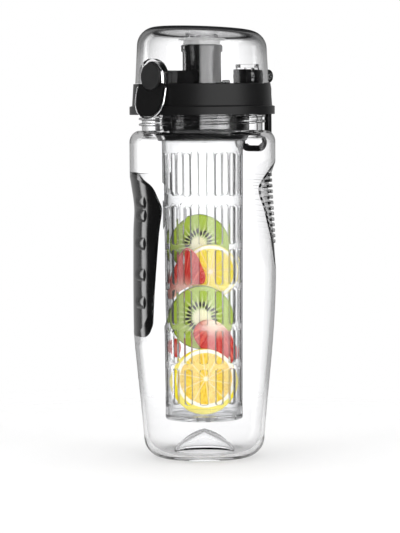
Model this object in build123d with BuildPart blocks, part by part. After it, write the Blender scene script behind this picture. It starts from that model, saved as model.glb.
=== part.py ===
from build123d import *
import math
import os

# A clear one-litre infuser bottle, made the way it comes apart on a bench.
# Millimetres, +Z up. The origin is the middle of the foot ring, on the surface the bottle stands on.
# The latch faces -X, the cap hinge and the carry loop are at +X.

# Clear body
body_radius = 45.2
body_wall = 2.2
body_height = 203.0
shoulder_drop = 6.5
shoulder_top_radius = 40.3
taper_height = 120.0
knee_radius = 43.0
knee_height = 72.0
base_radius = 37.5
base_corner_height = 13.0
foot_radius = 26.0
kick_up_radius = 19.0
kick_up_height = 14.5
floor_thickness = 3.0
corner_out_share = 0.7
corner_up_share = 0.3
kick_out_share = 0.5
kick_up_share = 0.72
shoulder_out_share = 0.29
shoulder_up_share = 0.6

# Neck and its thread
neck_radius = 37.4
neck_wall = 2.5
neck_height = 24.5
thread_pitch = 3.5
thread_turns = 3
thread_depth = 1.9
thread_root = 2.4
thread_crest = 1.0
thread_start = 2.6
thread_sink = 0.5

# Finger grip, a black rubber skin in a hollow of the body
finger_facing = 145.0
finger_roundness = 50.0
finger_bottom = 71.0
finger_length = 106.0
finger_depth = 2.7
finger_skin = 1.4
finger_half_widths = (14.0, 26.5, 30.6, 24.6, 20.0)
finger_height_shares = (0.995, 0.929, 0.811, 0.132, 0.052)
finger_corner = 9.0
finger_depth_shares = ((0.0, 0.36), (0.05, 0.62), (0.12, 0.66), (0.27, 0.64), (0.44, 0.67),
                       (0.6, 0.73), (0.7, 0.83), (0.775, 1.0), (0.84, 0.85), (0.9, 0.52),
                       (0.953, 0.2), (1.0, -0.12))
bump_shares = (0.84, 0.755, 0.595, 0.415, 0.255)
bump_radius = 7.5
bump_rise = 1.1
bump_half_angle = 6.5
bump_facing = 160.0

# Palm grip, clear ribs moulded across a hollow of the body
palm_facing = -35.0
palm_roundness = 61.0
palm_bottom = 112.0
palm_length = 74.0
palm_depth = 4.9
palm_depth_shares = ((0.0, -0.06), (0.17, 0.2), (0.34, 0.36), (0.47, 0.56), (0.61, 0.78),
                     (0.76, 1.0), (0.87, 0.6), (1.0, -0.06))
rib_count = 13
rib_pitch = 3.45
rib_thickness = 1.7
rib_top = 176.5
rib_top_inset = 2.7
rib_bottom_inset = 0.35
rib_root = 1.0
rib_end_inset = 0.2

# Screw lid
seat_gap = 0.3
seal_thickness = 1.5
seal_width = 3.2
lid_plate = 2.4
lid_radius = 42.5
lid_skirt_radius = 43.4
lid_flange_radius = 45.0
lid_flange_height = 5.0
lid_height = 19.0
lid_bore_gap = 0.4
lid_edge = 0.8
deck_radius = 33.0
socket_radius = 26.6
socket_wall = 3.0
socket_depth = 22.1

# Mouthpiece
spout_radius = 12.0
spout_bore = 9.0
spout_height = 24.0
spout_lip_radius = 12.9
spout_lip_height = 4.4
spout_lip_round = 1.1
spout_foot_radius = 14.0
spout_foot_height = 1.2

# Vent valve
vent_distance = 21.5
vent_radius = 2.6
vent_height = 2.4
vent_stem_radius = 1.4

# Clear flip cap
cap_base_radius = 41.3
cap_height = 33.5
cap_draft = 3.0
cap_tilt = 3.4
cap_round = 11.5
cap_wall = 2.0
catch_radius = 9.3
catch_rim_radius = 10.9
catch_rim_reach = 44.0
seal_disc_radius = 11.5
seal_plate_radius = 14.4
seal_plate_thickness = 1.3
seal_nose_radius = 7.0
seal_nose_height = 1.2
seal_disc_height = 4.3
cap_seat_radius = 10.0

# Latch on the front of the lid
latch_half_width = 11.0
latch_start = 41.2
latch_front = 43.9
latch_lean = 11.9
latch_bottom = 1.0
tower_half_width = 9.0
tower_back = 37.5
tower_front = 43.0
bridge_half_width = 8.0
bridge_height = 8.0
button_radius = 8.3
button_front = 44.9
button_thickness = 2.4
button_seat = 40.7
button_gap = 0.3
button_crown = 0.7
stem_radius = 1.4
stem_length = 8.6
chamber_radius = 3.05
button_centre_rise = 4.3

# Button spring
button_coil_radius = 2.4
button_wire_radius = 0.35
button_coil_turns = 7
spring_chamber_depth = 9.6
spring_end_gap = 0.1

# Wire bail
bail_wire_radius = 0.7
bail_half_width = 12.1
bail_pivot_distance = 43.2
bail_pivot_drop = 2.0
bail_side_length = 7.4
bail_hole_gap = 0.05
bail_end_depth = 2.2
bail_bend = 1.4

# Cap hinge, shared by the carry loop
pin_distance = 46.0
pin_rise = 4.5
pin_radius = 1.25
pin_gap = 0.05
pin_head_radius = 2.3
pin_head_thickness = 0.9
knuckle_inner = 3.6
knuckle_outer = 5.7
knuckle_radius = 4.2
block_start = 34.0
block_end = 41.5
block_height = 9.0
gusset_drop = 11.0
leaf_inner = 6.0
leaf_outer = 8.8
leaf_radius = 4.0
leaf_start = 38.4
hood_rise = 10.0
hood_thickness = 2.2
hood_end = 46.4
hinge_coil_radius = 2.7
hinge_wire_radius = 0.4
hinge_coil_turns = 4
hinge_coil_pitch = 1.35
hinge_low_leg = 4.1
hinge_high_leg = 5.1

# Carry loop
loop_inner_half_width = 9.1
loop_outer_half_width = 13.1
loop_gap = 0.6
loop_thickness = 3.2
loop_drop = 47.2
loop_band = 3.8
loop_outer_corner = 8.6
loop_inner_corner = 5.2
loop_edge = 0.7
loop_eye_radius = 4.2

# Infuser
collar_radius = 29.2
collar_gap = 0.4
collar_height = 24.0
collar_lip_height = 6.0
collar_foot_radius = 27.4
collar_edge = 1.2
infuser_top_radius = 25.25
infuser_bottom_radius = 24.0
infuser_wall = 1.8
infuser_clear = 6.5
infuser_flange_radius = 26.7
infuser_flange_height = 2.0
infuser_seal_thickness = 1.5
infuser_seal_inner = 23.6
slot_count = 15
slot_width = 4.6
slot_facing = -135.0
slot_start = 18.0
slot_spans = ((34.2, 56.5), (59.6, 80.6), (83.7, 105.4), (108.5, 130.1), (133.2, 156.7),
              (162.8, 189.4))
slot_corner = 1.9
base_cup_height = 8.0
base_cup_floor = 2.9
base_cup_wall = 1.2
base_slot_count = 6
base_slot_width = 2.2
base_slot_inner = 7.0
base_slot_outer = 18.0

# Fruit pieces: their middles and outlines are given across and up, seen square on
lemon_height = 47.5
lemon_radius = 20.4
lemon_back = 5.8
lemon_thickness = 2.8
kiwi_lower = (-1.2, 87.0, 19.8)
kiwi_lower_back = -0.2
kiwi_upper = (-2.6, 131.9, 19.1)
kiwi_upper_back = -6.0
kiwi_thickness = 2.8
lemon_upper = (4.6, 115.3, 16.9)
lemon_upper_back = -2.9
lemon_upper_thickness = 2.4
slice_edge = 0.8
berry_lower = ((-6.2, 79.0), (-2.0, 84.6), (4.5, 85.8), (11.0, 83.0), (17.0, 76.0), (20.2, 67.0),
               (18.6, 59.6), (12.0, 59.0), (3.0, 63.5), (-4.0, 71.0))
berry_piece = ((-20.6, 72.5), (-17.5, 74.3), (-14.6, 71.5), (-14.4, 66.0), (-17.0, 62.4),
               (-20.2, 65.5))
berry_back = 2.9
berry_thickness = 2.6
berry_upper = ((-9.2, 130.4), (-3.8, 125.6), (-0.6, 118.4), (1.4, 111.6), (0.2, 108.4),
               (-4.6, 107.6), (-10.9, 105.4), (-16.2, 101.6), (-19.6, 98.6), (-21.6, 100.0),
               (-21.8, 105.0), (-20.9, 112.0), (-18.6, 119.0), (-15.2, 125.0), (-12.2, 129.2))
berry_upper_back = -0.2
berry_upper_thickness = 4.4
berry_edge = 0.8

overrun = 5.0

# Heights worked out from the sizes above
neck_top = body_height + neck_height
plate_bottom = neck_top + seat_gap + seal_thickness + seat_gap
lid_top = plate_bottom + lid_plate
lid_bottom = lid_top - lid_height
pin_height = lid_top + pin_rise
button_height = lid_top + button_centre_rise
bail_height = lid_top - bail_pivot_drop
cap_bottom = lid_top + seat_gap
spout_top = lid_top + spout_height
thread_radius = neck_radius + thread_depth
lid_bore = thread_radius + lid_bore_gap
deepest = kick_up_height + floor_thickness
infuser_bottom = deepest + infuser_clear
infuser_seal_top = plate_bottom - socket_depth


def ring(inner, outer, low, high):
    """A plain ring about the bottle's axis."""
    with BuildPart() as made:
        with BuildSketch(Plane.XZ):
            with Locations(((inner + outer) / 2, (low + high) / 2)):
                Rectangle(outer - inner, high - low)
        revolve(axis=Axis.Z)
    return made.part


def facing_plane(angle, back):
    """A vertical plane through an upright axis that stands behind the bottle's middle."""
    out = (math.cos(math.radians(angle)), math.sin(math.radians(angle)), 0)
    origin = (-out[0] * back, -out[1] * back, 0)
    return Plane(origin=origin, x_dir=out, z_dir=(out[1], -out[0], 0))


def hollow_floor(angle, roundness, bottom, length, depth, depth_shares, inset):
    """All that lies behind the rounded floor of a grip hollow, as one barrel about an upright axis."""
    back = roundness - body_radius + depth
    plane = facing_plane(angle, back)
    wide = back + body_radius + overrun
    floor = [(back + body_radius - depth * share - inset, bottom + length * rise)
             for rise, share in depth_shares]
    with BuildPart() as made:
        with BuildSketch(plane):
            with BuildLine():
                Spline(*floor)
                Polyline(floor[-1], (wide, floor[-1][1] + overrun), (wide, neck_top + overrun),
                         (0, neck_top + overrun), (0, -overrun), (wide, -overrun),
                         (wide, floor[0][1] - overrun), floor[0])
            make_face()
        revolve(axis=Axis(plane.origin, (0, 0, 1)))
    return made.part


def turned_body(inset, floor):
    """The body turned about the axis, moved inwards by the wall for its inside."""
    side = base_radius - inset
    foot = foot_radius - inset
    kick = (0, kick_up_height + floor)
    kick_end = (kick_up_radius, floor)
    kick_middle = (kick_up_radius * kick_out_share, floor + kick_up_height * kick_up_share)
    corner = (side, base_corner_height + floor / 2)
    corner_middle = (foot + (side - foot) * corner_out_share,
                     floor + (corner[1] - floor) * corner_up_share)
    shoulder = (body_radius - inset, body_height - shoulder_drop - inset / 2)
    shoulder_end = (shoulder_top_radius - inset, body_height - inset)
    shoulder_middle = (shoulder[0] - (shoulder[0] - shoulder_end[0]) * shoulder_out_share,
                       shoulder[1] + (shoulder_end[1] - shoulder[1]) * shoulder_up_share)
    throat = neck_radius - (neck_wall if inset else 0)
    top = neck_top + (overrun if inset else 0)
    with BuildPart() as made:
        with BuildSketch(Plane.XZ):
            with BuildLine():
                ThreePointArc(kick, kick_middle, kick_end)
                Line(kick_end, (foot, floor))
                ThreePointArc((foot, floor), corner_middle, corner)
                Spline(corner, (knee_radius - inset, knee_height),
                       (body_radius - inset, taper_height), tangents=((0.08, 1), (0, 1)))
                Line((body_radius - inset, taper_height), shoulder)
                ThreePointArc(shoulder, shoulder_middle, shoulder_end)
                Polyline(shoulder_end, (throat, body_height - inset), (throat, top), (0, top), kick)
            make_face()
        revolve(axis=Axis.Z)
    return made.part


def biarc(start, start_way, end, end_way):
    """Two arcs that leave the start and reach the end along the given directions."""
    across = end - start
    both = start_way + end_way
    turn = 2 * (start_way.dot(end_way) - 1)
    reach = -2 * across.dot(both)
    if abs(turn) < 1e-9:
        step = across.dot(across) / -reach
    else:
        root = math.sqrt(reach * reach - 4 * turn * across.dot(across))
        step = max((-reach - root) / (2 * turn), (-reach + root) / (2 * turn))
    middle = (start + start_way * step + end - end_way * step) * 0.5
    first = TangentArc(start, middle, tangent=start_way)
    TangentArc(middle, end, tangent=first % 1)


def coil(centre, along, across, radius, pitch, turns, lead_in=0, lead_out=0):
    """The centre line of a spring: quarter turns as biarcs, with a straight leg at either end."""
    along = Vector(*along)
    across = Vector(*across)
    third = along.cross(across)
    rise = pitch / (2 * math.pi)

    def place(angle):
        return (Vector(*centre) + across * (radius * math.cos(angle))
                + third * (radius * math.sin(angle)) + along * (rise * angle))

    def heading(angle):
        way = (third * (radius * math.cos(angle)) - across * (radius * math.sin(angle))
               + along * rise)
        return way.normalized()

    quarters = int(turns * 4)
    angles = [quarter * math.pi / 2 for quarter in range(quarters + 1)]
    with BuildLine() as line:
        if lead_in:
            Line(place(0) - heading(0) * lead_in, place(0))
        for first, second in zip(angles, angles[1:]):
            biarc(place(first), heading(first), place(second), heading(second))
        if lead_out:
            Line(place(angles[-1]), place(angles[-1]) + heading(angles[-1]) * lead_out)
    return line.line


def spring_gap(line, wire_radius, turns):
    """The least clear gap between one turn and the next, measured on points of the centre line."""
    count = turns * 24
    points = [line @ (step / count) for step in range(count + 1)]
    skip = count // turns // 2
    nearest = min((points[i] - points[j]).length
                  for i in range(len(points)) for j in range(i + skip, len(points)))
    return nearest - 2 * wire_radius


def wire_along(line, wire_radius):
    with BuildPart() as made:
        with BuildSketch(Plane(origin=line @ 0, z_dir=line % 0)):
            Circle(wire_radius)
        sweep(path=line)
    return made.part


os.makedirs("parts", exist_ok=True)

# Hollows for the hand, once for the outside of the wall and once for its inside
finger_shape = (finger_facing, finger_roundness, finger_bottom, finger_length, finger_depth,
                finger_depth_shares)
palm_shape = (palm_facing, palm_roundness, palm_bottom, palm_length, palm_depth,
              palm_depth_shares)
finger_floor = hollow_floor(*finger_shape, 0)
finger_bed = hollow_floor(*finger_shape, finger_skin)
finger_inside = hollow_floor(*finger_shape, finger_skin + body_wall)
palm_floor = hollow_floor(*palm_shape, 0)
palm_inside = hollow_floor(*palm_shape, body_wall)
rib_roots = hollow_floor(*palm_shape, rib_root)

# The outline of the finger grip, seen square on, runs through the wall
grip_heights = [finger_bottom + finger_length * share for share in finger_height_shares]
grip_right = list(zip(finger_half_widths, grip_heights))
grip_left = [(-across, height) for across, height in reversed(grip_right)]
finger_out = (math.cos(math.radians(finger_facing)), math.sin(math.radians(finger_facing)), 0)
finger_across = (-finger_out[1], finger_out[0], 0)
with BuildPart() as grip_outline:
    with BuildSketch(Plane(origin=(0, 0, 0), x_dir=finger_across, z_dir=finger_out)):
        with BuildLine():
            Polyline(*grip_right, *grip_left, close=True)
        make_face()
        fillet(vertices(), finger_corner)
    extrude(amount=body_radius + overrun)

# Clear ribs across the palm hollow, ending on a gentle slope
rib_back = palm_roundness - body_radius + palm_depth
rib_plane = facing_plane(palm_facing, rib_back)
rib_low = rib_top - rib_pitch * rib_count
rib_reach = rib_back + body_radius
with BuildPart() as palm_ribs:
    for rib in range(rib_count):
        with BuildSketch(Plane.XY.offset(rib_top - rib * rib_pitch - rib_thickness)):
            Circle(body_radius - rib_end_inset)
        extrude(amount=rib_thickness)
    with BuildSketch(rib_plane):
        with BuildLine():
            Polyline((0, rib_low - overrun), (rib_reach - rib_bottom_inset, rib_low - overrun),
                     (rib_reach - rib_bottom_inset, rib_low), (rib_reach - rib_top_inset, rib_top),
                     (rib_reach - rib_top_inset, rib_top + overrun), (0, rib_top + overrun),
                     close=True)
        make_face()
    revolve(axis=Axis(rib_plane.origin, (0, 0, 1)), mode=Mode.INTERSECT)
    add(rib_roots, mode=Mode.SUBTRACT)

# The inside of the body, with the wall following the two hollows
with BuildPart() as body_inside:
    add(turned_body(body_wall, floor_thickness))
    add(finger_inside, mode=Mode.INTERSECT)
    add(palm_inside, mode=Mode.INTERSECT)

# Neck thread, a helical ridge of three turns
with BuildPart() as neck_thread:
    with BuildLine() as thread_line:
        Helix(pitch=thread_pitch, height=thread_pitch * thread_turns,
              radius=neck_radius - thread_sink, center=(0, 0, body_height + thread_start))
    with BuildSketch(Plane(origin=thread_line.line @ 0, x_dir=(1, 0, 0),
                           z_dir=thread_line.line % 0)):
        with BuildLine():
            Polyline((0, -thread_root / 2), (thread_sink + thread_depth, -thread_crest / 2),
                     (thread_sink + thread_depth, thread_crest / 2), (0, thread_root / 2),
                     close=True)
        make_face()
    sweep(path=thread_line.line, is_frenet=True)

# Bottle body: clear, blown in one piece with its neck, ribs and kicked-up base
with BuildPart() as bottle_body:
    add(turned_body(0, 0))
    add(finger_floor, mode=Mode.INTERSECT)
    add(palm_floor, mode=Mode.INTERSECT)
    add(palm_ribs.part)
    add(grip_outline.part - finger_bed, mode=Mode.SUBTRACT)
    add(body_inside.part, mode=Mode.SUBTRACT)
    add(neck_thread.part)
bottle_body.part.label = "bottle_body"
export_step(bottle_body.part, "parts/bottle_body.step")

# Finger grip: black rubber with five raised finger rests
grip_back = finger_roundness - body_radius + finger_depth
grip_plane = facing_plane(finger_facing, grip_back)


def depth_share_at(rise):
    """The share of the hollow's depth at a share of its length, between the points given."""
    for (low, low_share), (high, high_share) in zip(finger_depth_shares, finger_depth_shares[1:]):
        if low <= rise <= high:
            return low_share + (high_share - low_share) * (rise - low) / (high - low)
    return 0


bump_start = math.radians(bump_facing - bump_half_angle)
bump_plane = Plane(origin=grip_plane.origin, x_dir=(math.cos(bump_start), math.sin(bump_start), 0),
                   z_dir=(math.sin(bump_start), -math.cos(bump_start), 0))
with BuildPart() as finger_rests:
    for share in bump_shares:
        reach = grip_back + body_radius - finger_depth * depth_share_at(share)
        centre = (reach + bump_rise - bump_radius, finger_bottom + finger_length * share)
        with BuildSketch(bump_plane):
            with Locations(centre):
                Circle(bump_radius)
        revolve(axis=Axis(grip_plane.origin, (0, 0, 1)), revolution_arc=2 * bump_half_angle)
    add(finger_bed, mode=Mode.SUBTRACT)

with BuildPart() as finger_grip:
    add(turned_body(0, 0))
    add(finger_floor, mode=Mode.INTERSECT)
    add(grip_outline.part, mode=Mode.INTERSECT)
    add(finger_bed, mode=Mode.SUBTRACT)
    add(finger_rests.part)
finger_grip.part.label = "finger_grip"
export_step(finger_grip.part, "parts/finger_grip.step")

# Neck seal: a silicone ring between the rim and the lid's plate
seal_low = neck_top + seat_gap
neck_seal = ring(neck_radius - seal_width, neck_radius, seal_low, seal_low + seal_thickness)
neck_seal.label = "neck_seal"
export_step(neck_seal, "parts/neck_seal.step")

# Outline of the latch pad on the lid's front: a U, square on, leaning out towards its foot
latch_low = lid_bottom - latch_bottom
latch_bend = latch_low + latch_half_width
lean = math.tan(math.radians(latch_lean))
with BuildPart() as latch_outline:
    with BuildSketch(Plane.YZ.offset(-latch_start)):
        with BuildLine():
            Polyline((-latch_half_width, latch_bend), (-latch_half_width, lid_top),
                     (latch_half_width, lid_top), (latch_half_width, latch_bend))
            ThreePointArc((latch_half_width, latch_bend), (0, latch_low),
                          (-latch_half_width, latch_bend))
        make_face()
    extrude(amount=-latch_start)

with BuildPart() as button_pocket:
    with BuildSketch(Plane.YZ.offset(-button_seat)):
        with Locations((0, button_height)):
            Circle(button_radius + button_gap)
    extrude(amount=-latch_front)

# Lid collar: the black screw ring, with the two hinge ears at its back
with BuildPart() as lid_collar:
    with BuildSketch(Plane.XZ):
        with BuildLine():
            Polyline((lid_bore, lid_bottom), (lid_flange_radius, lid_bottom),
                     (lid_flange_radius, lid_bottom + lid_flange_height),
                     (lid_skirt_radius, lid_bottom + lid_flange_height + lid_edge / 2),
                     (lid_radius, lid_top), (deck_radius, lid_top), (deck_radius, plate_bottom),
                     (lid_bore, plate_bottom), close=True)
        make_face()
    revolve(axis=Axis.Z)
    rims = edges().filter_by(GeomType.CIRCLE).filter_by(lambda e: e.radius > lid_bore + lid_edge)
    fillet(rims.filter_by(lambda e: e.center().Z > lid_bottom + lid_edge), lid_edge / 2)
    for side in (-1, 1):
        ear_middle = side * (knuckle_inner + knuckle_outer) / 2
        with BuildSketch(Plane.XZ.offset(-ear_middle)):
            with Locations((pin_distance, pin_height)):
                Circle(knuckle_radius)
            with BuildLine():
                Polyline((block_start, lid_top - lid_edge), (block_start, lid_top + block_height),
                         (block_end, lid_top + block_height),
                         (pin_distance, pin_height + knuckle_radius),
                         (pin_distance + knuckle_radius, pin_height),
                         (lid_skirt_radius - lid_edge, lid_top - gusset_drop), close=True)
            make_face()
        extrude(amount=(knuckle_outer - knuckle_inner) / 2, both=True)
    with BuildSketch(Plane.XZ):
        with BuildLine():
            Polyline((block_start, lid_top - lid_edge), (block_start, lid_top + block_height),
                     (block_end, lid_top + block_height), (block_end, lid_top - lid_edge),
                     close=True)
        make_face()
    extrude(amount=knuckle_inner + lid_edge, both=True)
    with BuildSketch(Plane.XZ):
        with Locations((pin_distance, pin_height)):
            Circle(pin_radius)
    extrude(amount=knuckle_outer + overrun, both=True, mode=Mode.SUBTRACT)
    add(ring(0, lid_bore, lid_bottom - overrun, plate_bottom), mode=Mode.SUBTRACT)
    add(latch_outline.part, mode=Mode.SUBTRACT)
    add(button_pocket.part, mode=Mode.SUBTRACT)
lid_collar.part.label = "lid_collar"
export_step(lid_collar.part, "parts/lid_collar.step")

# Lid deck: the plate inside the collar, with the socket that the infuser screws onto
with BuildPart() as lid_deck:
    add(ring(spout_bore, deck_radius, plate_bottom, lid_top))
    add(ring(socket_radius - socket_wall, socket_radius, infuser_seal_top + seat_gap, plate_bottom))
    with BuildSketch(Plane.XY.offset(plate_bottom)):
        with Locations((vent_distance, 0)):
            Circle(vent_stem_radius)
    extrude(amount=lid_plate, mode=Mode.SUBTRACT)
lid_deck.part.label = "lid_deck"
export_step(lid_deck.part, "parts/lid_deck.step")

# Spout: the black mouthpiece in the middle of the deck
with BuildPart() as spout:
    add(ring(spout_bore, spout_radius, lid_top, spout_top))
    add(ring(spout_bore, spout_foot_radius, lid_top, lid_top + spout_foot_height))
    add(ring(spout_bore, spout_lip_radius, spout_top - spout_lip_height, spout_top))
    lips = edges().filter_by(GeomType.CIRCLE).filter_by(lambda e: e.radius > spout_radius + seat_gap)
    fillet(lips.group_by(Axis.Z)[-1], spout_lip_round)
    fillet(edges().filter_by(GeomType.CIRCLE).group_by(Axis.Z)[-1], seat_gap)
spout.part.label = "spout"
export_step(spout.part, "parts/spout.step")

# Vent valve: a small silicone plug behind the spout, seated in its hole in the deck
with BuildPart() as vent_valve:
    with BuildSketch(Plane.XY.offset(plate_bottom)):
        with Locations((vent_distance, 0)):
            Circle(vent_stem_radius)
    extrude(amount=lid_plate)
    with BuildSketch(Plane.XY.offset(lid_top)):
        with Locations((vent_distance, 0)):
            Circle(vent_radius)
    extrude(amount=vent_height)
    fillet(edges().filter_by(GeomType.CIRCLE).group_by(Axis.Z)[-1], vent_radius / 3)
vent_valve.part.label = "vent_valve"
export_step(vent_valve.part, "parts/vent_valve.step")

# Latch housing: the black pad on the front, the round tower above it and the bridge to the spout
front_low = latch_front + (lid_top - latch_low) * lean
with BuildPart() as latch_housing:
    add(latch_outline.part)
    with BuildSketch(Plane.XZ):
        with BuildLine():
            Polyline((-latch_start, lid_top + lid_edge),
                     (-latch_front + lean * lid_edge, lid_top + lid_edge), (-front_low, latch_low), (-front_low, latch_low - overrun),
                     (-latch_start, latch_low - overrun), close=True)
        make_face()
    extrude(amount=latch_half_width + overrun, both=True, mode=Mode.INTERSECT)
    with BuildSketch(Plane.YZ.offset(-tower_front)):
        with Locations((0, button_height)):
            Circle(tower_half_width)
        with Locations((0, (lid_top + button_height) / 2)):
            Rectangle(2 * tower_half_width, button_height - lid_top)
        with Locations((0, lid_top - tower_half_width)):
            Rectangle(4 * tower_half_width, 2 * tower_half_width, mode=Mode.SUBTRACT)
    extrude(amount=tower_front - tower_back)
    with BuildSketch(Plane.XY.offset(lid_top + lid_edge)):
        Circle(spout_radius)
    extrude(amount=tower_half_width, mode=Mode.SUBTRACT)
    with BuildSketch(Plane.XY.offset(lid_top + spout_foot_height)):
        with Locations((-(tower_back + spout_radius) / 2, 0)):
            Rectangle(tower_back - spout_radius + lid_edge, 2 * bridge_half_width)
    extrude(amount=bridge_height - spout_foot_height)
    with BuildSketch(Plane.XY.offset(lid_top)):
        with Locations((-(tower_back + spout_foot_radius) / 2, 0)):
            Rectangle(tower_back - spout_foot_radius - lid_edge, 2 * bridge_half_width)
    extrude(amount=bridge_height - spout_foot_height)
    add(ring(0, spout_radius, lid_top, lid_top + 2 * bridge_height), mode=Mode.SUBTRACT)
    add(button_pocket.part, mode=Mode.SUBTRACT)
    with BuildSketch(Plane.YZ.offset(-button_seat)):
        with Locations((0, button_height)):
            Circle(chamber_radius)
    extrude(amount=spring_chamber_depth, mode=Mode.SUBTRACT)
    for side in (-1, 1):
        with BuildSketch(Plane.XZ.offset(side * latch_half_width)):
            with Locations((-bail_pivot_distance, bail_height)):
                Circle(bail_wire_radius + bail_hole_gap)
        extrude(amount=bail_end_depth + seat_gap, both=True, mode=Mode.SUBTRACT)
latch_housing.part.label = "latch_housing"
export_step(latch_housing.part, "parts/latch_housing.step")

# Flip cap: the clear dome, its latch arch at the front and its hinge leaf at the back


def dome(inset):
    """The cap's drafted wall, sloping crown and rounded shoulder, moved inwards by the wall."""
    tilt = math.radians(cap_tilt)
    crown = Plane(origin=(0, 0, cap_bottom + cap_height - inset),
                  x_dir=(math.cos(tilt), 0, -math.sin(tilt)), z_dir=(math.sin(tilt), 0, math.cos(tilt)))
    with BuildPart() as made:
        with BuildSketch(Plane.XY.offset(cap_bottom - inset / 2)):
            Circle(cap_base_radius - inset)
        extrude(amount=cap_height + overrun, taper=cap_draft)
        split(bisect_by=crown, keep=Keep.BOTTOM)
        fillet(edges().group_by(Axis.Z)[-1], cap_round - inset)
    return made.part


def arch_block(radius, front, back):
    """A round-topped upright block through the front of the cap."""
    with BuildPart() as made:
        with BuildSketch(Plane.YZ.offset(-front)):
            with Locations((0, button_height)):
                Circle(radius)
            with Locations((0, button_height - radius)):
                Rectangle(2 * radius, 2 * radius)
        extrude(amount=front - back)
    return made.part


cap_inside = dome(cap_wall)
disc_low = spout_top + seat_gap
disc_high = disc_low + seal_disc_height
leaf_middle = (leaf_inner + leaf_outer) / 2
hood_low = lid_top + hood_rise
hood_high = hood_low + hood_thickness
leaf_low = pin_height - leaf_radius
with BuildPart() as flip_cap:
    add(dome(0))
    add(arch_block(catch_rim_radius, catch_rim_reach, tower_back - overrun))
    for side in (-1, 1):
        with BuildSketch(Plane.XZ.offset(side * leaf_middle)):
            with Locations((pin_distance, pin_height)):
                Circle(leaf_radius)
            with BuildLine():
                Polyline((leaf_start - overrun, leaf_low), (leaf_start - overrun, hood_high),
                         (hood_end, hood_high), (hood_end, pin_height), (pin_distance, leaf_low),
                         close=True)
            make_face()
        extrude(amount=(leaf_outer - leaf_inner) / 2, both=True)
    with BuildSketch(Plane.XZ):
        with Locations(((leaf_start + hood_end) / 2, (hood_low + hood_high) / 2)):
            Rectangle(hood_end - leaf_start, hood_thickness)
    extrude(amount=leaf_middle, both=True)
    add(ring(0, cap_base_radius + overrun, cap_bottom - 4 * overrun, cap_bottom), mode=Mode.SUBTRACT)
    add(cap_inside, mode=Mode.SUBTRACT)
    add(ring(cap_seat_radius - cap_wall, cap_seat_radius, disc_high,
             cap_bottom + cap_height - cap_wall / 2))
    add(arch_block(catch_radius, catch_rim_reach + overrun, tower_back - 2 * overrun),
        mode=Mode.SUBTRACT)
    with BuildSketch(Plane.XZ):
        with Locations((pin_distance, (cap_bottom + hood_low) / 2 - overrun)):
            Rectangle(2 * (pin_distance - leaf_start + overrun), hood_low - cap_bottom + 2 * overrun)
    extrude(amount=leaf_inner, both=True, mode=Mode.SUBTRACT)
    with BuildSketch(Plane.XZ):
        with Locations((pin_distance, pin_height)):
            Circle(pin_radius + pin_gap)
    extrude(amount=leaf_outer + overrun, both=True, mode=Mode.SUBTRACT)
flip_cap.part.label = "flip_cap"
export_step(flip_cap.part, "parts/flip_cap.step")

# Spout seal: the soft disc in the cap's seat that closes the mouthpiece
with BuildPart() as spout_seal:
    add(ring(0, seal_nose_radius, disc_low - seal_nose_height, disc_high))
    add(ring(0, seal_disc_radius, disc_low, disc_high))
    add(ring(0, seal_plate_radius, disc_high - seal_plate_thickness, disc_high))
    fillet(edges().filter_by(GeomType.CIRCLE).group_by(Axis.Z)[0], seal_nose_height / 2)
spout_seal.part.label = "spout_seal"
export_step(spout_seal.part, "parts/spout_seal.step")

# Button: a round cap on a stem that slides in the latch housing
button_back = button_front - button_thickness
with BuildPart() as latch_button:
    with BuildSketch(Plane.YZ.offset(-button_back)):
        with Locations((0, button_height)):
            Circle(button_radius)
    extrude(amount=-button_thickness)
    fillet(edges().filter_by(GeomType.CIRCLE).group_by(Axis.X)[0], button_crown)
    with BuildSketch(Plane.YZ.offset(-button_back)):
        with Locations((0, button_height)):
            Circle(stem_radius)
    extrude(amount=stem_length)
latch_button.part.label = "latch_button"
export_step(latch_button.part, "parts/latch_button.step")

# Button spring: a steel coil round the stem, from the button's back to the end of its chamber
button_coil_start = button_back - button_wire_radius - spring_end_gap
button_coil_end = button_seat - spring_chamber_depth + button_wire_radius + spring_end_gap
button_coil_pitch = (button_coil_start - button_coil_end) / button_coil_turns
button_coil = coil((-button_coil_start, 0, button_height), (1, 0, 0), (0, 1, 0),
                   button_coil_radius, button_coil_pitch, button_coil_turns)
button_spring = wire_along(button_coil, button_wire_radius)
button_spring.label = "button_spring"
export_step(button_spring, "parts/button_spring.step")
print("button spring, least gap to itself:",
      round(spring_gap(button_coil, button_wire_radius, button_coil_turns), 2))

# Wire bail: it hangs round the pad with its ends in the pad's sides, and flips up over the arch
bail_plane = Plane(origin=(-bail_pivot_distance, 0, bail_height), x_dir=(0, 1, 0),
                   z_dir=(math.cos(math.radians(latch_lean)), 0, -math.sin(math.radians(latch_lean))))
bail_in = latch_half_width - bail_end_depth
with BuildPart() as wire_bail:
    with BuildLine(bail_plane) as bail_line:
        FilletPolyline((bail_in, 0), (bail_half_width, 0), (bail_half_width, -bail_side_length),
                       radius=bail_bend)
        ThreePointArc((bail_half_width, -bail_side_length),
                      (0, -bail_side_length - bail_half_width),
                      (-bail_half_width, -bail_side_length))
        FilletPolyline((-bail_half_width, -bail_side_length), (-bail_half_width, 0), (-bail_in, 0),
                       radius=bail_bend)
    with BuildSketch(Plane(origin=bail_line.line @ 0, z_dir=bail_line.line % 0)):
        Circle(bail_wire_radius)
    sweep(path=bail_line.line)
wire_bail.part.label = "wire_bail"
export_step(wire_bail.part, "parts/wire_bail.step")

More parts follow.
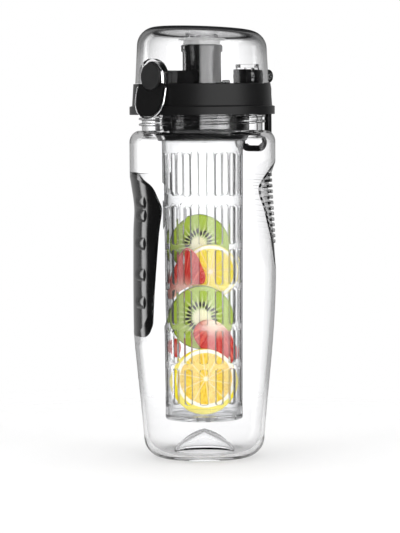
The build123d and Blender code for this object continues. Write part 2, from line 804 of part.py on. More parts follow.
# Hinge pin: one steel pin through the lid's ears, the cap's leaf and the carry loop
pin_reach = loop_outer_half_width + seat_gap
with BuildPart() as hinge_pin:
    with BuildSketch(Plane.XZ):
        with Locations((pin_distance, pin_height)):
            Circle(pin_radius)
    extrude(amount=pin_reach + pin_head_thickness, both=True)
    for side in (-1, 1):
        with BuildSketch(Plane.XZ.offset(side * (pin_reach + pin_head_thickness / 2))):
            with Locations((pin_distance, pin_height)):
                Circle(pin_head_radius)
        extrude(amount=pin_head_thickness / 2, both=True)
hinge_pin.part.label = "hinge_pin"
export_step(hinge_pin.part, "parts/hinge_pin.step")

# Hinge spring: a steel torsion spring round the pin, one leg on the lid and one under the hood
hinge_coil = coil((pin_distance, -hinge_coil_pitch * hinge_coil_turns / 2, pin_height), (0, 1, 0),
                  (-1, 0, 0), hinge_coil_radius, hinge_coil_pitch, hinge_coil_turns,
                  hinge_low_leg, hinge_high_leg)
hinge_spring = wire_along(hinge_coil, hinge_wire_radius)
hinge_spring.label = "hinge_spring"
export_step(hinge_spring, "parts/hinge_spring.step")
print("hinge spring, least gap to itself:",
      round(spring_gap(hinge_coil, hinge_wire_radius, hinge_coil_turns), 2))

# Carry loop: a flat black loop that hangs from the hinge pin
loop_start = body_radius + loop_gap
loop_low = pin_height - loop_drop
loop_middle = (loop_inner_half_width + loop_outer_half_width) / 2
with BuildPart() as loop_opening:
    with BuildSketch(Plane.YZ.offset(loop_start - overrun)):
        with Locations((0, (pin_height + 2 * overrun + loop_low + loop_band) / 2)):
            Rectangle(2 * loop_inner_half_width, pin_height + 2 * overrun - loop_low - loop_band)
        fillet(vertices().group_by(Axis.Z)[0], loop_inner_corner)
    extrude(amount=loop_thickness + 2 * overrun)

with BuildPart() as carry_loop:
    with BuildSketch(Plane.YZ.offset(loop_start)):
        with Locations((0, (pin_height + loop_low) / 2)):
            Rectangle(2 * loop_outer_half_width, loop_drop)
        fillet(vertices().group_by(Axis.Z)[0], loop_outer_corner)
    extrude(amount=loop_thickness)
    add(loop_opening.part, mode=Mode.SUBTRACT)
    fillet(edges().filter_by(lambda e: e.center().Z < pin_height - loop_edge), loop_edge)
    for side in (-1, 1):
        with BuildSketch(Plane.XZ.offset(side * loop_middle)):
            with Locations((pin_distance, pin_height)):
                Circle(loop_eye_radius)
        extrude(amount=(loop_outer_half_width - loop_inner_half_width) / 2, both=True)
    with BuildSketch(Plane.XZ):
        with Locations((pin_distance, pin_height)):
            Circle(pin_radius + pin_gap)
    extrude(amount=loop_outer_half_width + overrun, both=True, mode=Mode.SUBTRACT)
carry_loop.part.label = "carry_loop"
export_step(carry_loop.part, "parts/carry_loop.step")

# Infuser collar: the black nut that holds the basket against the lid's socket
flange_top = infuser_seal_top - infuser_seal_thickness
flange_low = flange_top - infuser_flange_height
collar_low = flange_low - collar_lip_height
collar_top = collar_low + collar_height
collar_bore = socket_radius + collar_gap
with BuildPart() as infuser_collar:
    with BuildSketch(Plane.XZ):
        with BuildLine():
            Polyline((infuser_top_radius + pin_gap, collar_low), (collar_foot_radius, collar_low),
                     (collar_radius, flange_low), (collar_radius, collar_top),
                     (collar_bore, collar_top), (collar_bore, flange_low),
                     (infuser_top_radius + pin_gap, flange_low), close=True)
        make_face()
    revolve(axis=Axis.Z)
    fillet(edges().filter_by(GeomType.CIRCLE).filter_by(lambda e: e.radius > collar_bore), collar_edge)
infuser_collar.part.label = "infuser_collar"
export_step(infuser_collar.part, "parts/infuser_collar.step")

# Infuser seal: a silicone ring between the basket's flange and the socket
infuser_seal = ring(infuser_seal_inner, infuser_flange_radius, flange_top, infuser_seal_top)
infuser_seal.label = "infuser_seal"
export_step(infuser_seal, "parts/infuser_seal.step")

# Infuser basket: a clear, slightly tapered tube with six rows of rounded slots
basket_low = infuser_bottom + base_cup_floor + seat_gap
basket_step = infuser_bottom + base_cup_height
spigot_radius = infuser_bottom_radius - base_cup_wall - pin_gap
with BuildPart() as infuser_slots:
    for slot_low, slot_high in slot_spans:
        for slot in range(slot_count):
            facing = math.radians(slot_facing + slot * 360 / slot_count)
            with BuildSketch(Plane(origin=(0, 0, 0), x_dir=(-math.sin(facing), math.cos(facing), 0),
                                   z_dir=(math.cos(facing), math.sin(facing), 0)).offset(slot_start)):
                with Locations((0, (slot_low + slot_high) / 2)):
                    RectangleRounded(slot_width, slot_high - slot_low, slot_corner)
            extrude(amount=overrun * 2)

with BuildPart() as infuser_basket:
    with BuildSketch(Plane.XZ):
        with BuildLine():
            Polyline((spigot_radius - infuser_wall, basket_low), (spigot_radius, basket_low),
                     (spigot_radius, basket_step), (infuser_bottom_radius, basket_step),
                     (infuser_top_radius, flange_low), (infuser_flange_radius, flange_low),
                     (infuser_flange_radius, flange_top),
                     (infuser_top_radius - infuser_wall, flange_top),
                     (infuser_bottom_radius - infuser_wall, basket_step + overrun),
                     (spigot_radius - infuser_wall, basket_step), close=True)
        make_face()
    revolve(axis=Axis.Z)
    add(infuser_slots.part, mode=Mode.SUBTRACT)
infuser_basket.part.label = "infuser_basket"
export_step(infuser_basket.part, "parts/infuser_basket.step")

# Infuser base: a clear push-on cup with drain slots
with BuildPart() as infuser_base:
    add(ring(0, infuser_bottom_radius, infuser_bottom, basket_step))
    fillet(edges().filter_by(GeomType.CIRCLE).group_by(Axis.Z)[0], base_cup_wall)
    add(ring(0, infuser_bottom_radius - base_cup_wall, infuser_bottom + base_cup_floor,
             basket_step + overrun), mode=Mode.SUBTRACT)
    with BuildSketch(Plane.XY.offset(infuser_bottom)):
        with PolarLocations((base_slot_inner + base_slot_outer) / 2, base_slot_count):
            Rectangle(base_slot_outer - base_slot_inner, base_slot_width)
    extrude(amount=base_cup_floor, mode=Mode.SUBTRACT)
infuser_base.part.label = "infuser_base"
export_step(infuser_base.part, "parts/infuser_base.step")

# Fruit: slices and halves stand in the basket, square to the front
front = Plane(origin=(0, 0, 0), x_dir=(math.sin(math.radians(45)), -math.sin(math.radians(45)), 0),
              z_dir=(-math.sin(math.radians(45)), -math.sin(math.radians(45)), 0))


def slice_of(across, height, radius, back, thickness, edge):
    """A round slice of fruit with softened edges."""
    with BuildPart() as made:
        with BuildSketch(front.offset(back)):
            with Locations((across, height)):
                Circle(radius)
        extrude(amount=thickness)
        fillet(edges().filter_by(GeomType.CIRCLE), edge)
    return made.part


def berry_of(outline, back, thickness, edge):
    """A flat piece of strawberry, cut through its middle, with softened edges."""
    with BuildPart() as made:
        with BuildSketch(front.offset(back)):
            with BuildLine():
                Spline(*outline, periodic=True)
            make_face()
        extrude(amount=thickness)
        fillet(edges(), edge)
    return made.part


fruit = {
    "lemon_slice_lower": slice_of(0, lemon_height, lemon_radius, lemon_back, lemon_thickness,
                                  slice_edge),
    "kiwi_slice_lower": slice_of(*kiwi_lower, kiwi_lower_back, kiwi_thickness, slice_edge),
    "lemon_slice_upper": slice_of(*lemon_upper, lemon_upper_back, lemon_upper_thickness, slice_edge),
    "kiwi_slice_upper": slice_of(*kiwi_upper, kiwi_upper_back, kiwi_thickness, slice_edge),
    "strawberry_half_lower": berry_of(berry_lower, berry_back, berry_thickness, berry_edge),
    "strawberry_piece": berry_of(berry_piece, berry_back, berry_thickness, berry_edge),
    "strawberry_half_upper": berry_of(berry_upper, berry_upper_back, berry_upper_thickness, berry_edge),
}
for name, piece in fruit.items():
    piece.label = name
    export_step(piece, f"parts/{name}.step")
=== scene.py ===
import math

import bpy
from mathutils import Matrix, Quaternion, Vector

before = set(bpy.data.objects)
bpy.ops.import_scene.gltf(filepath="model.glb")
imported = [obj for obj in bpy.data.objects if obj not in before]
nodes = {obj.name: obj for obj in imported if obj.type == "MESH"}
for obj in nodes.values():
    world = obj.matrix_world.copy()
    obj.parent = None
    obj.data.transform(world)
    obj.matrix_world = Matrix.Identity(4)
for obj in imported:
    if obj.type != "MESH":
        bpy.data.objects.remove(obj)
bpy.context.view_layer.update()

# Camera
# A long lens at the height of the lid, looking slightly down on the bottle's latch side.
# The bottle leans a touch to the left in the picture, so the camera is rolled by as much.
SLANT = math.sqrt(0.5)
SENSOR_SIZE = 36
LENS_DISTANCE = 1.75
LENS_HEIGHT = 0.222
AIM_HEIGHT = 0.1186
AIM_ASIDE = -0.002
FRAME_HEIGHT = 0.3307
CAMERA_ROLL = 0.4

towards_camera = Vector((-SLANT, -SLANT, 0))
camera_right = Vector((SLANT, -SLANT, 0))
aim = camera_right * AIM_ASIDE + Vector((0, 0, AIM_HEIGHT))
camera_data = bpy.data.cameras.new("camera")
camera_data.sensor_width = SENSOR_SIZE
camera_data.lens = SENSOR_SIZE * LENS_DISTANCE / FRAME_HEIGHT
camera_data.clip_start = 0.05
camera_data.clip_end = 20
camera = bpy.data.objects.new("camera", camera_data)
bpy.context.scene.collection.objects.link(camera)
camera.location = aim + towards_camera * LENS_DISTANCE + Vector((0, 0, LENS_HEIGHT - AIM_HEIGHT))
look = (aim - camera.location).normalized()
camera.rotation_mode = "QUATERNION"
camera.rotation_quaternion = (Quaternion(look, math.radians(CAMERA_ROLL))
                              @ look.to_track_quat("-Z", "Y"))
bpy.context.scene.camera = camera

# Studio
# A white backdrop stands behind the bottle and the room to its sides is a little dimmer, so that
# clear plastic darkens wherever it bends the view aside. Gloss mirrors a broad white panel to the
# right of the camera and a narrow one behind on the left. Lamps stand left, right and overhead.
bpy.context.scene.view_settings.view_transform = "Standard"
BACKDROP_EDGE = (0.45, 0.8)
BACKDROP_LIGHT = 0.36
SIDE_LIGHT = 0.76
PANEL_LIGHT = 4.5
PANEL_LEFT = (-0.1, -0.04)
PANEL_RIGHT = (0.9, 0.95)
PANEL_FRONT = (0.0, 0.1)
STRIP_LIGHT = 5.0
STRIP_NEAR = (0.38, 0.42)
STRIP_FAR = (0.56, 0.6)
STRIP_RIGHT = (-0.6, -0.5)
MIRRORED_FOOT = (-0.35, -0.25)
MIRRORED_TOP = (0.5, 0.6)
MIRRORED_BACKDROP = 0.5
MIRRORED_GLOOM = 0.03
ROOM_LIGHT = 0.95
LAMP_AIM = Vector((0, 0, 0.13))
SIDE_LAMP_POWER = 3.5
SIDE_LAMP_SIZE = (0.5, 0.9)
OVERHEAD_POWER = 4
OVERHEAD_SIZE = (0.8, 0.8)


class Reading:
    """A shader socket that takes part in sums as a number does."""

    def __init__(self, recipe, socket):
        self.recipe = recipe
        self.socket = socket

    def put_through(self, operation, *others):
        """One Math node that takes this value first and the others after it."""
        return self.recipe.make("ShaderNodeMath", {"operation": operation}, self, *others)

    def __add__(self, other):
        return self.put_through("ADD", other)

    def __radd__(self, other):
        return self.put_through("ADD", other)

    def __sub__(self, other):
        return self.put_through("SUBTRACT", other)

    def __rsub__(self, other):
        return self.recipe.make("ShaderNodeMath", {"operation": "SUBTRACT"}, other, self)

    def __mul__(self, other):
        return self.put_through("MULTIPLY", other)

    def __rmul__(self, other):
        return self.put_through("MULTIPLY", other)

    def __truediv__(self, other):
        return self.put_through("DIVIDE", other)

    def __pow__(self, other):
        return self.put_through("POWER", other)

    def least(self, other):
        return self.put_through("MINIMUM", other)

    def most(self, other):
        return self.put_through("MAXIMUM", other)


class Recipe:
    """The node tree of one finish."""

    def __init__(self, tree):
        self.tree = tree
        tree.nodes.clear()

    def feed(self, socket, value):
        """Links a reading to a node's input, or sets a plain value on it."""
        if isinstance(value, Reading):
            self.tree.links.new(value.socket, socket)
        else:
            socket.default_value = value

    def make(self, kind, settings, *inputs, output=0, **named):
        """Adds a node, sets it up, feeds its inputs and returns one of its outputs."""
        node = self.tree.nodes.new(kind)
        for key, value in settings.items():
            setattr(node, key, value)
        fed = dict(enumerate(inputs))
        fed.update({key.replace("_", " "): value for key, value in named.items()})
        for key, value in fed.items():
            self.feed(node.inputs[key], value)
        return Reading(self, node.outputs[output]) if node.outputs else None

    def blend(self, share, first, second):
        """One colour turning into another."""
        node = self.tree.nodes.new("ShaderNodeMix")
        node.data_type = "RGBA"
        for place, value in ((0, share), (6, first), (7, second)):
            self.feed(node.inputs[place], value)
        return Reading(self, node.outputs[2])

    def axes(self, place):
        """The three numbers of a place."""
        first = self.make("ShaderNodeSeparateXYZ", {}, place)
        return [Reading(self, socket) for socket in first.socket.node.outputs]

    def rise(self, value, low, high):
        """0 below the low value, 1 above the high one, and a smooth turn between."""
        return self.make("ShaderNodeMapRange", {"interpolation_type": "SMOOTHSTEP"},
                         value, low, high, 0.0, 1.0)


world = bpy.data.worlds.new("studio")
bpy.context.scene.world = world
world.use_nodes = True
room = Recipe(world.node_tree)
seen = room.make("ShaderNodeLightPath", {}, output="Is Camera Ray")
mirrored = room.make("ShaderNodeLightPath", {}, output="Is Glossy Ray")
through = room.make("ShaderNodeLightPath", {}, output="Is Transmission Ray")
scatters = room.make("ShaderNodeLightPath", {}, output="Diffuse Depth")
mirrorings = room.make("ShaderNodeLightPath", {}, output="Glossy Depth")
heading = room.make("ShaderNodeTexCoord", {}, output="Generated")


def heading_along(direction):
    """How far a ray heads along a direction, from -1 to 1."""
    return room.make("ShaderNodeVectorMath", {"operation": "DOT_PRODUCT"}, heading, direction,
                     output="Value")


def between(value, low_edge, high_edge):
    """1 between two soft edges, each given by where it starts and where it ends."""
    return room.rise(value, *low_edge) * (1.0 - room.rise(value, *high_edge))


aside = heading_along(camera_right)
high = heading_along(Vector((0, 0, 1)))
rearward = heading_along(-towards_camera)
behind = room.rise(rearward, *BACKDROP_EDGE)
upright = between(high, MIRRORED_FOOT, MIRRORED_TOP)
panel = (between(aside, PANEL_LEFT, PANEL_RIGHT)
         * room.rise(heading_along(towards_camera), *PANEL_FRONT) * upright)
strip = (between(rearward, STRIP_NEAR, STRIP_FAR) * (1.0 - room.rise(aside, *STRIP_RIGHT))
         * upright)
gloss_view = (behind * MIRRORED_BACKDROP + MIRRORED_GLOOM + panel * PANEL_LIGHT
              + strip * STRIP_LIGHT)
clear_view = behind * BACKDROP_LIGHT + SIDE_LIGHT
polished = (mirrored + through).least(1.0) * (1.0 - scatters.least(1.0))
mirror_share = mirrorings.least(1.0)
polished_view = mirror_share * gloss_view + (1.0 - mirror_share) * clear_view
strength = seen + (1.0 - seen) * (polished * polished_view + (1.0 - polished) * ROOM_LIGHT)
room.make("ShaderNodeOutputWorld", {},
          room.make("ShaderNodeBackground", {}, (1, 1, 1, 1), strength))


def soft_lamp(name, place, power, size):
    lamp_data = bpy.data.lights.new(name, "AREA")
    lamp_data.shape = "RECTANGLE"
    lamp_data.size, lamp_data.size_y = size
    lamp_data.energy = power
    lamp = bpy.data.objects.new(name, lamp_data)
    bpy.context.scene.collection.objects.link(lamp)
    lamp.location = place
    lamp.visible_glossy = False
    lamp.rotation_mode = "QUATERNION"
    lamp.rotation_quaternion = (LAMP_AIM - lamp.location).to_track_quat("-Z", "Y")


soft_lamp("lamp_left", towards_camera * 0.7 - camera_right + Vector((0, 0, 0.6)),
          SIDE_LAMP_POWER, SIDE_LAMP_SIZE)
soft_lamp("lamp_right", towards_camera * 0.8 + camera_right * 0.9 + Vector((0, 0, 0.5)),
          SIDE_LAMP_POWER, SIDE_LAMP_SIZE)
soft_lamp("lamp_overhead", Vector((0, 0, 1.4)), OVERHEAD_POWER, OVERHEAD_SIZE)

# Floor
# A round sheet of pale paper just under the bottle's foot. It fades out into the white
# surroundings, so that no edge of it shows.
SHEET_RADIUS = 0.6
SHEET_DROP = 0.0002
SHEET_FADE = (0.12, 0.45)
PAPER_WHITE = (0.9, 0.9, 0.9, 1)


def new_finish(name):
    finish = bpy.data.materials.new(name)
    finish.use_nodes = True
    return finish, Recipe(finish.node_tree)


bpy.ops.object.select_all(action="DESELECT")
bpy.ops.mesh.primitive_circle_add(vertices=96, radius=SHEET_RADIUS, fill_type="NGON",
                                  location=(0, 0, -SHEET_DROP))
floor = bpy.context.active_object
floor.name = "floor"
floor_finish, sheet = new_finish("floor_paper")
spot = sheet.make("ShaderNodeTexCoord", {}, output="Object")
away = sheet.make("ShaderNodeVectorMath", {"operation": "LENGTH"}, spot, output="Value")
paper = sheet.make("ShaderNodeBsdfPrincipled", {}, Base_Color=PAPER_WHITE, Roughness=0.6,
                   Alpha=1.0 - sheet.rise(away, *SHEET_FADE))
sheet.make("ShaderNodeOutputMaterial", {}, paper)
floor.data.materials.append(floor_finish)

# Clear plastic
# The body and cap are moulded in clear hard plastic, and the basket and its cup in a slightly
# milky one. Lamps reach through it. A dark colour is painted into it as shade where it is seen
# edge on, along the rounded edge of the cap's top and at the rims of the basket's slots, in place
# of the dark edges that bent light gives clear plastic.
# Painted shade: a near-black, unreflecting colour mixed into clear plastic seen edge on.
PAINTED_EDGE_SHADE = (0.01, 0.01, 0.011, 1)
MILK_WHITE = (0.92, 0.92, 0.92, 1)
LAMPLIGHT_PASSED = (0.93, 0.93, 0.93, 1)
DOME_RISE = (0.244, 0.262)
TOP_CLEARING = 0.8
# Where the painted dark band along the rounded edge of the cap's top lies, and how dark it gets.
CROWN_HEIGHT = 0.2658
CROWN_SLOPE = 0.0594
CROWN_RADIUS = 0.029
CROWN_FADE = 0.006
CROWN_DROP = (0.0032, 0.0022)
CROWN_PAINTED_SHADE_GAIN = 1.6
CROWN_PAINTED_SHADE_MAX = 0.96
# Where the painted dark lines at the rims of the basket's slots lie, and how dark they are.
RIM_INNER = (0.0019, 0.0022)
RIM_OUTER = (0.0025, 0.0028)
RIM_FADE = 0.001
RIM_PAINTED_SHADE = 0.42
SLOT_COUNT = 15
SLOT_TURN = 0.375 + 0.5 / SLOT_COUNT
SLOT_REACH = 0.0242
SLOT_SPANS = ((0.0342, 0.0565), (0.0596, 0.0806), (0.0837, 0.1054), (0.1085, 0.1301),
              (0.1332, 0.1567), (0.1628, 0.1894))


def clear_plastic(name, tint, bend, roughness, milk, painted_edge_power, painted_edge_low, painted_edge_high, slots):
    """Clear plastic with painted shade at edges, its own strength above the neck, and at slot rims.
    """
    finish, mix = new_finish(name)
    place = mix.make("ShaderNodeTexCoord", {}, output="Object")
    along, over, up = mix.axes(place)
    waves = mix.make("ShaderNodeTexNoise", {}, Vector=place, Scale=28.0, Detail=1.0)
    bump = mix.make("ShaderNodeBump", {}, Strength=0.02, Distance=0.002, Height=waves)
    body = mix.make("ShaderNodeBsdfPrincipled", {}, Base_Color=tint, Roughness=roughness, IOR=bend,
                    Transmission_Weight=1.0, Normal=bump)
    haze = mix.make("ShaderNodeBsdfPrincipled", {}, Base_Color=MILK_WHITE, Roughness=0.4)
    body = mix.make("ShaderNodeMixShader", {}, milk, body, haze)
    # Painted shade that the clear plastic turns to where it is seen edge on.
    painted_edge_shade = mix.make("ShaderNodeBsdfPrincipled", {}, Base_Color=PAINTED_EDGE_SHADE, Roughness=0.5,
                    Specular_IOR_Level=0.0)
    facing = mix.make("ShaderNodeLayerWeight", {}, 0.5, output="Facing")
    lofty = mix.rise(up, *DOME_RISE)
    outer = mix.rise((along * along + over * over) ** 0.5, CROWN_RADIUS - CROWN_FADE, CROWN_RADIUS)
    # The share of painted shade: more edge on, its own strength above the neck, less on the flat
    # top.
    share = facing ** painted_edge_power * (lofty * (painted_edge_high - painted_edge_low) + painted_edge_low)
    share = share * (1.0 - lofty * (1.0 - outer) * TOP_CLEARING)
    # Painted shade: a dark band along the rounded edge of the cap's top.
    painted_crown_shade = outer * mix.rise(up + along * CROWN_SLOPE, CROWN_HEIGHT - CROWN_DROP[0],
                             CROWN_HEIGHT - CROWN_DROP[1])
    share = share.most(painted_crown_shade * (facing * CROWN_PAINTED_SHADE_GAIN).least(CROWN_PAINTED_SHADE_MAX))
    # Painted shade: thin dark lines along the rims of every slot in the basket.
    if slots:
        off_slot = (over.put_through("ARCTAN2", along) / (2 * math.pi) + SLOT_TURN) * SLOT_COUNT
        off_slot = off_slot - off_slot.put_through("FLOOR") - 0.5
        off_slot = off_slot.put_through("ABSOLUTE") * (SLOT_REACH * 2 * math.pi / SLOT_COUNT)
        painted_rim_shade = mix.rise(off_slot, *RIM_INNER) * (1.0 - mix.rise(off_slot, *RIM_OUTER))
    for low, high in slots:
        row_painted_rim_shade = (painted_rim_shade * mix.rise(up, low, low + RIM_FADE)
                   * (1.0 - mix.rise(up, high - RIM_FADE, high)))
        share = share.most(row_painted_rim_shade * RIM_PAINTED_SHADE)
    body_with_painted_shade = mix.make("ShaderNodeMixShader", {}, share, body, painted_edge_shade)
    lamp_ray = mix.make("ShaderNodeLightPath", {}, output="Is Shadow Ray")
    open_way = mix.make("ShaderNodeBsdfTransparent", {}, LAMPLIGHT_PASSED)
    mix.make("ShaderNodeOutputMaterial", {},
             mix.make("ShaderNodeMixShader", {}, lamp_ray, body_with_painted_shade, open_way))
    return finish


def dress(name, finish):
    """Gives a node from the frame one finish all over."""
    mesh = nodes[name].data
    mesh.materials.clear()
    mesh.materials.append(finish)


SHELL_TINT = (0.99, 0.99, 0.995, 1)
INFUSER_TINT = (0.98, 0.985, 0.99, 1)
dress("bottle_body", clear_plastic("clear_wall", SHELL_TINT, bend=1.14, roughness=0.0, milk=0.0,
                                   painted_edge_power=4.0, painted_edge_low=0.4, painted_edge_high=0.4, slots=()))
dress("flip_cap", clear_plastic("clear_dome", SHELL_TINT, bend=1.3, roughness=0.0, milk=0.0,
                                painted_edge_power=2.0, painted_edge_low=0.45, painted_edge_high=1.0, slots=()))
dress("infuser_basket", clear_plastic("clear_basket", INFUSER_TINT, bend=1.12, roughness=0.03,
                                      milk=0.07, painted_edge_power=3.0, painted_edge_low=0.7, painted_edge_high=0.7,
                                      slots=SLOT_SPANS))
dress("infuser_base", clear_plastic("clear_cup", INFUSER_TINT, bend=1.2, roughness=0.02, milk=0.03,
                                    painted_edge_power=3.0, painted_edge_low=0.6, painted_edge_high=0.6, slots=()))

# Black plastic
# The screw collar, deck, mouthpiece, latch housing, infuser nut and carry loop are moulded black.
# The latch housing is dull, the collar, deck and loop are satin with a very fine grain, and the
# mouthpiece and nut are glossy.
POLISH_SWAY = 0.12


def black_plastic(name, shade, roughness, grain, gloss):
    finish, mix = new_finish(name)
    place = mix.make("ShaderNodeTexCoord", {}, output="Object")
    fine = mix.make("ShaderNodeTexNoise", {}, Vector=place, Scale=1800.0, Detail=2.0)
    broad = mix.make("ShaderNodeTexNoise", {}, Vector=place, Scale=55.0, Detail=2.0)
    bump = mix.make("ShaderNodeBump", {}, Strength=grain, Distance=0.0004, Height=fine)
    colour = mix.blend(broad, (shade * 0.8, shade * 0.8, shade * 0.82, 1),
                       (shade * 1.2, shade * 1.2, shade * 1.25, 1))
    shine = roughness + (broad - 0.5) * POLISH_SWAY
    mix.make("ShaderNodeOutputMaterial", {},
             mix.make("ShaderNodeBsdfPrincipled", {}, Base_Color=colour, Roughness=shine,
                      Normal=bump, Specular_IOR_Level=gloss))
    return finish


satin_black = black_plastic("satin_black", shade=0.007, roughness=0.38, grain=0.1, gloss=0.14)
deep_black = black_plastic("deep_black", shade=0.005, roughness=0.5, grain=0.1, gloss=0.05)
gloss_black = black_plastic("gloss_black", shade=0.006, roughness=0.16, grain=0.03, gloss=0.5)
mirror_black = black_plastic("mirror_black", shade=0.005, roughness=0.1, grain=0.02, gloss=1.0)
for name in ("lid_collar", "lid_deck", "carry_loop"):
    dress(name, satin_black)
dress("latch_housing", deep_black)
dress("spout", gloss_black)
dress("infuser_collar", mirror_black)

# Rubber and silicone
# The finger grip is a smooth skin of black rubber laid in the body's hollow, and the button and
# the vent plug are duller rubber. The seals are soft milky silicone, pressed into their seats.
grip_rubber = black_plastic("grip_rubber", shade=0.005, roughness=0.12, grain=0.02, gloss=0.4)
button_rubber = black_plastic("button_rubber", shade=0.012, roughness=0.5, grain=0.2, gloss=0.25)
dress("finger_grip", grip_rubber)
dress("latch_button", button_rubber)
dress("vent_valve", button_rubber)

SILICONE_DARK = (0.5, 0.5, 0.5, 1)
SILICONE_LIGHT = (0.62, 0.62, 0.62, 1)
seal_finish, milky = new_finish("milky_silicone")
seal_place = milky.make("ShaderNodeTexCoord", {}, output="Object")
clouds = milky.make("ShaderNodeTexNoise", {}, Vector=seal_place, Scale=120.0, Detail=2.0)
seal_colour = milky.blend(clouds, SILICONE_DARK, SILICONE_LIGHT)
milky.make("ShaderNodeOutputMaterial", {},
           milky.make("ShaderNodeBsdfPrincipled", {}, Base_Color=seal_colour, Roughness=0.4,
                      Alpha=0.75))
for name in ("neck_seal", "spout_seal", "infuser_seal"):
    dress(name, seal_finish)

# Steel
# The bail, the hinge pin and both springs are bright steel wire, cut, bent or wound to shape.
# Its polish varies very finely from place to place.
STEEL_GREY = (0.78, 0.78, 0.79, 1)
wire_finish, drawn = new_finish("bright_wire")
wire_place = drawn.make("ShaderNodeTexCoord", {}, output="Object")
wire_polish = drawn.make("ShaderNodeTexNoise", {}, Vector=wire_place, Scale=900.0, Detail=2.0)
drawn.make("ShaderNodeOutputMaterial", {},
           drawn.make("ShaderNodeBsdfPrincipled", {}, Base_Color=STEEL_GREY, Metallic=1.0,
                      Roughness=0.14 + wire_polish * 0.14))
for name in ("wire_bail", "hinge_pin", "hinge_spring", "button_spring"):
    dress(name, wire_finish)

# Lemon slices
# Two lemon slices with a yellow rind, a ring of white pith and wet flesh in segments.
# They stand upright in the basket facing the camera, so a point is told by its way round and out.
SEGMENTS = 10
SEGMENT_SKIN = (0.012, 0.05)
SEGMENT_SKIN_YELLOW = (0.93, 0.72, 0.3, 1)
SACS_ROUND = 9.0
SACS_OUT = 7.0
SAC_SHADE = (0.05, 0.8)
HEART_EDGE = (0.05, 0.1)
HEART_CREAM = (0.95, 0.88, 0.65, 1)
PITH_EDGE = (0.84, 0.87)
PITH_WHITE = (0.96, 0.93, 0.8, 1)
SKIN_EDGE = (0.955, 0.985)
RIND_YELLOW = (0.92, 0.78, 0.015, 1)


def slice_place(mix, across, height, radius):
    """How far out a point lies, as a share of the radius, and its way round in radians."""
    along, over, up = mix.axes(mix.make("ShaderNodeTexCoord", {}, output="Object"))
    side = (along - over) * SLANT - across
    rise = up - height
    out = ((side * side + rise * rise) ** 0.5) / radius
    return out, rise.put_through("ARCTAN2", side)


def lemon(name, across, height, radius, flesh_dark, flesh_light, turn):
    finish, mix = new_finish(name)
    out, way = slice_place(mix, across, height, radius)
    share = (way + turn) * (SEGMENTS / (2 * math.pi))
    from_skin = share.put_through("FRACT") - 0.5
    from_skin = (0.5 - from_skin.put_through("ABSOLUTE")) * out
    sac_place = mix.make("ShaderNodeCombineXYZ", {}, way * SACS_ROUND, out * SACS_OUT, 0.0)
    sacs = mix.make("ShaderNodeTexVoronoi", {}, Vector=sac_place, Scale=1.0, output="Distance")
    flesh = mix.blend(mix.rise(sacs, *SAC_SHADE), flesh_dark, flesh_light)
    off_skins = mix.rise(from_skin, *SEGMENT_SKIN)
    flesh = mix.blend(off_skins, SEGMENT_SKIN_YELLOW, flesh)
    flesh = mix.blend(mix.rise(out, *HEART_EDGE), HEART_CREAM, flesh)
    pith = mix.blend(mix.rise(out, *PITH_EDGE), flesh, PITH_WHITE)
    colour = mix.blend(mix.rise(out, *SKIN_EDGE), pith, RIND_YELLOW)
    place = mix.make("ShaderNodeTexCoord", {}, output="Object")
    grain = mix.make("ShaderNodeTexNoise", {}, Vector=place, Scale=700.0, Detail=2.0)
    bump = mix.make("ShaderNodeBump", {}, Strength=0.5, Distance=0.0004,
                    Height=sacs * off_skins * 0.6 + off_skins * 0.5 + grain * 0.2)
    mix.make("ShaderNodeOutputMaterial", {},
             mix.make("ShaderNodeBsdfPrincipled", {}, Base_Color=colour,
                      Roughness=0.2 + sacs * 0.2, Normal=bump,
                      Specular_IOR_Level=0.3, Subsurface_Weight=0.15,
                      Subsurface_Radius=(0.004, 0.002, 0.001)))
    return finish


dress("lemon_slice_lower", lemon("lemon_ripe", across=0.0012, height=0.0494, radius=0.0188,
                                 flesh_dark=(0.78, 0.46, 0.01, 1),
                                 flesh_light=(0.88, 0.64, 0.06, 1), turn=0.2))
dress("lemon_slice_upper", lemon("lemon_pale", across=0.0046, height=0.1153, radius=0.0169,
                                 flesh_dark=(0.82, 0.64, 0.008, 1),
                                 flesh_light=(0.9, 0.76, 0.05, 1), turn=0.5))

# Kiwi slices
# Two kiwi slices, cut across, with a pale core, a ring of small black seeds, green flesh with
# pale rays, and a thin skin. They stand upright in the basket as the lemon slices do.
CORE_EDGE = (0.2, 0.36)
CORE_CREAM = (0.92, 0.9, 0.62, 1)
FLESH_TURN = (0.3, 0.75)
FLESH_INNER = (0.14, 0.28, 0.006, 1)
FLESH_OUTER = (0.34, 0.48, 0.02, 1)
FLESH_PALE = (0.55, 0.68, 0.12, 1)
RAYS = 24
RAY_SIDE = (0.22, 0.46)
RAY_END = (0.42, 0.82)
RAY_GREEN = (0.8, 0.84, 0.42, 1)
SEED_RING = 0.34
SEED_SCATTER = 0.13
SEED_SHUFFLE = 3.7
SEED_ACROSS = 3.4
SEED_ALONG = 6.0
SEED_EDGE = (0.42, 0.62)
SEED_BLACK = (0.006, 0.005, 0.003, 1)
SKIN_GREEN = (0.17, 0.24, 0.015, 1)


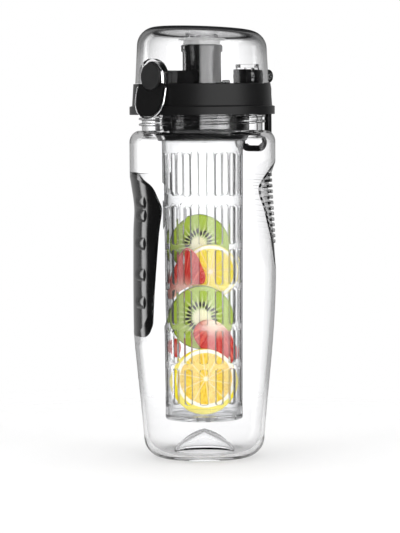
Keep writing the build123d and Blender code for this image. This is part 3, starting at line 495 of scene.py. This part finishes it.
def kiwi(name, across, height, radius, turn):
    finish, mix = new_finish(name)
    out, way = slice_place(mix, across, height, radius)
    place = mix.make("ShaderNodeTexCoord", {}, output="Object")
    cloud = mix.make("ShaderNodeTexNoise", {}, Vector=place, Scale=260.0, Detail=3.0)
    flesh = mix.blend(mix.rise(out, *FLESH_TURN), FLESH_INNER, FLESH_OUTER)
    flesh = mix.blend(cloud * 0.35, flesh, FLESH_PALE)
    share = (way + turn) * (RAYS / (2 * math.pi)) + (cloud - 0.5) * 0.5
    number = share.put_through("FLOOR")
    off_middle = (share - number - 0.5).put_through("ABSOLUTE")
    ray = mix.rise(off_middle, *RAY_SIDE) * (1.0 - mix.rise(out, *RAY_END))
    flesh = mix.blend(ray * 0.9, flesh, RAY_GREEN)
    flesh = mix.blend(mix.rise(out, *CORE_EDGE), CORE_CREAM, flesh)
    scatter = mix.make("ShaderNodeTexWhiteNoise", {"noise_dimensions": "1D"},
                       W=number + SEED_SHUFFLE)
    side = off_middle * out * SEED_ACROSS
    apart = (out - SEED_RING - scatter * SEED_SCATTER) * SEED_ALONG
    seed = 1.0 - mix.rise((side * side + apart * apart) ** 0.5, *SEED_EDGE)
    flesh = mix.blend(seed, flesh, SEED_BLACK)
    colour = mix.blend(mix.rise(out, *SKIN_EDGE), flesh, SKIN_GREEN)
    bump = mix.make("ShaderNodeBump", {}, Strength=0.5, Distance=0.0004, Height=cloud * 0.4 + seed)
    mix.make("ShaderNodeOutputMaterial", {},
             mix.make("ShaderNodeBsdfPrincipled", {}, Base_Color=colour,
                      Roughness=0.28 + cloud * 0.15, Normal=bump,
                      Specular_IOR_Level=0.3, Subsurface_Weight=0.1,
                      Subsurface_Radius=(0.002, 0.003, 0.001)))
    return finish


dress("kiwi_slice_lower", kiwi("kiwi_low", across=-0.0012, height=0.087, radius=0.0198, turn=0.3))
dress("kiwi_slice_upper", kiwi("kiwi_high", across=-0.0026, height=0.1319, radius=0.0191, turn=1.1))

# Strawberries
# Two strawberry halves and a small piece, with red flesh, pale rays out of a pale heart, and
# seeds in the skin. They lie between and in front of the slices.
STREAKS_ROUND = 7.0
STREAKS_OUT = 0.8
STREAK_EDGE = (0.45, 0.72)
STREAK_START = (0.15, 0.5)
STREAK_PINK = (0.78, 0.12, 0.06, 1)
BERRY_RED = (0.5, 0.006, 0.004, 1)
BERRY_HEART = (0.05, 0.45)
BERRY_HEART_CREAM = (0.97, 0.78, 0.6, 1)
PIP_EDGE = (0.1, 0.22)
PIP_GOLD = (0.8, 0.42, 0.1, 1)
BERRY_SKIN = (0.8, 1.05)
BERRY_SKIN_RED = (0.46, 0.006, 0.004, 1)


def strawberry(name, across, height, reach, pale):
    finish, mix = new_finish(name)
    out, way = slice_place(mix, across, height, reach)
    place = mix.make("ShaderNodeTexCoord", {}, output="Object")
    streak_place = mix.make("ShaderNodeCombineXYZ", {}, way * STREAKS_ROUND, out * STREAKS_OUT, 0.0)
    streaks = mix.make("ShaderNodeTexNoise", {}, Vector=streak_place, Scale=1.8, Detail=2.0)
    flesh = mix.blend(mix.rise(streaks, *STREAK_EDGE) * mix.rise(out, *STREAK_START), BERRY_RED,
                      STREAK_PINK)
    flesh = mix.blend((1.0 - mix.rise(out, *BERRY_HEART)) * pale, flesh, BERRY_HEART_CREAM)
    off_pips = mix.make("ShaderNodeTexVoronoi", {}, Vector=place, Scale=330.0, output="Distance")
    skin = mix.blend(mix.rise(off_pips, *PIP_EDGE), PIP_GOLD, BERRY_SKIN_RED)
    colour = mix.blend(mix.rise(out, *BERRY_SKIN), flesh, skin)
    bump = mix.make("ShaderNodeBump", {}, Strength=0.4, Distance=0.0005,
                    Height=streaks + off_pips * 0.6)
    mix.make("ShaderNodeOutputMaterial", {},
             mix.make("ShaderNodeBsdfPrincipled", {}, Base_Color=colour,
                      Roughness=0.22 + streaks * 0.12, Normal=bump,
                      Specular_IOR_Level=0.3, Subsurface_Weight=0.1,
                      Subsurface_Radius=(0.003, 0.001, 0.001)))
    return finish


dress("strawberry_half_lower", strawberry("berry_low", across=0.0075, height=0.0855, reach=0.03,
                                          pale=0.95))
dress("strawberry_half_upper", strawberry("berry_high", across=-0.013, height=0.1, reach=0.034,
                                          pale=0.6))
dress("strawberry_piece", strawberry("berry_piece", across=-0.0175, height=0.0685, reach=0.012,
                                     pale=0.2))
